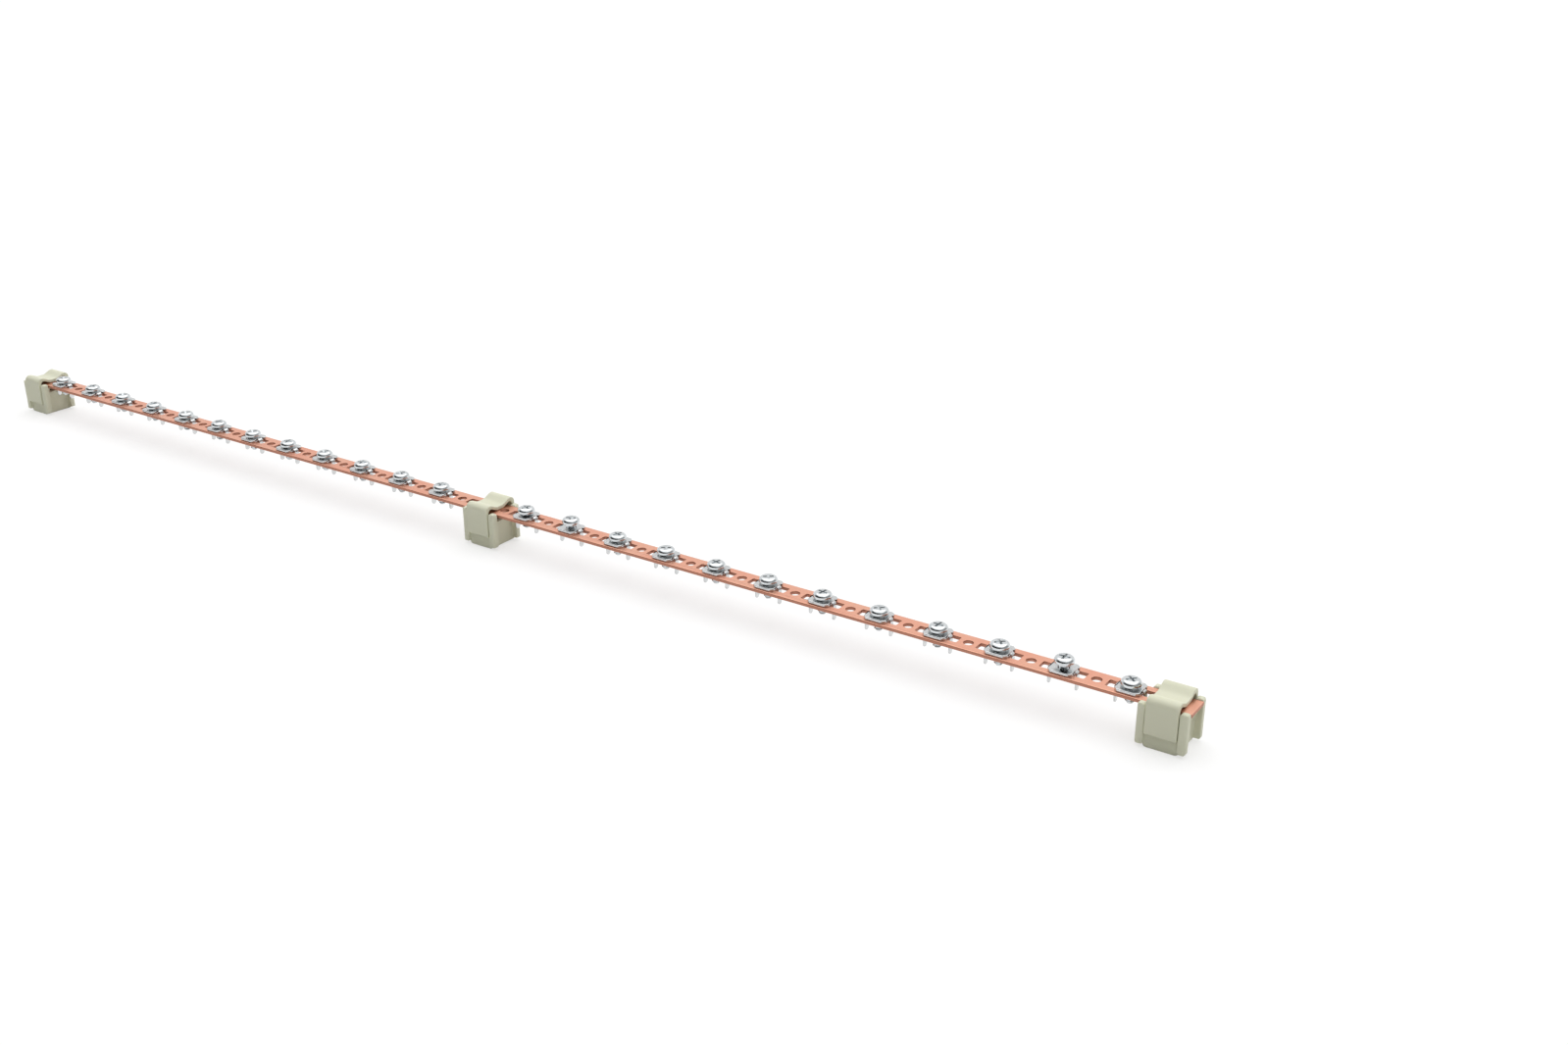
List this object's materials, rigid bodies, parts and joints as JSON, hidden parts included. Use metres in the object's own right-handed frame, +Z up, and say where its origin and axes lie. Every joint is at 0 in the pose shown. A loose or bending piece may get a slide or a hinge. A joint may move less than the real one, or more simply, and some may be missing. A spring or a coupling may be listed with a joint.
{
  "type": "earth terminal bar",
  "caption": "Long punched copper strip with a row of saddle-plate screw clamps at an even pitch, held clear of its mounting surface by clip-down moulded insulating supports.",
  "frame": {"origin": "on the mounting surface, under the middle of the copper strip", "axes": "+X along the strip, +Z up from the mounting surface through the strip, +Y across the strip"},
  "size_m": [0.7, 0.0192, 0.0233],
  "materials": {
    "copper": "plain drawn copper, satin, slightly mottled by handling",
    "zinc_plate": "bright zinc plate on pressed steel",
    "zinc_screw": "bright zinc plate on a turned and rolled screw",
    "holder_plastic": "pebble grey moulded plastic, satin"
  },
  "bodies": {
    "root": {"copper_bar": "copper", "clamp_plate_01": "zinc_plate", "clamp_plate_02": "zinc_plate", "clamp_plate_03": "zinc_plate", "clamp_plate_04": "zinc_plate", "clamp_plate_05": "zinc_plate", "clamp_plate_06": "zinc_plate", "clamp_plate_07": "zinc_plate", "clamp_plate_08": "zinc_plate", "clamp_plate_09": "zinc_plate", "clamp_plate_10": "zinc_plate", "clamp_plate_11": "zinc_plate", "clamp_plate_12": "zinc_plate", "clamp_plate_13": "zinc_plate", "clamp_plate_14": "zinc_plate", "clamp_plate_15": "zinc_plate", "clamp_plate_16": "zinc_plate", "clamp_plate_17": "zinc_plate", "clamp_plate_18": "zinc_plate", "clamp_plate_19": "zinc_plate", "clamp_plate_20": "zinc_plate", "clamp_plate_21": "zinc_plate", "clamp_plate_22": "zinc_plate", "clamp_plate_23": "zinc_plate", "clamp_plate_24": "zinc_plate", "clamp_screw_01": "zinc_screw", "clamp_screw_02": "zinc_screw", "clamp_screw_03": "zinc_screw", "clamp_screw_04": "zinc_screw", "clamp_screw_05": "zinc_screw", "clamp_screw_06": "zinc_screw", "clamp_screw_07": "zinc_screw", "clamp_screw_08": "zinc_screw", "clamp_screw_09": "zinc_screw", "clamp_screw_10": "zinc_screw", "clamp_screw_11": "zinc_screw", "clamp_screw_12": "zinc_screw", "clamp_screw_13": "zinc_screw", "clamp_screw_14": "zinc_screw", "clamp_screw_15": "zinc_screw", "clamp_screw_16": "zinc_screw", "clamp_screw_17": "zinc_screw", "clamp_screw_18": "zinc_screw", "clamp_screw_19": "zinc_screw", "clamp_screw_20": "zinc_screw", "clamp_screw_21": "zinc_screw", "clamp_screw_22": "zinc_screw", "clamp_screw_23": "zinc_screw", "clamp_screw_24": "zinc_screw", "holder_base_left": "holder_plastic", "holder_base_middle": "holder_plastic", "holder_base_right": "holder_plastic", "holder_cap_left": "holder_plastic", "holder_cap_middle": "holder_plastic", "holder_cap_right": "holder_plastic"}
  },
  "joints": []
}
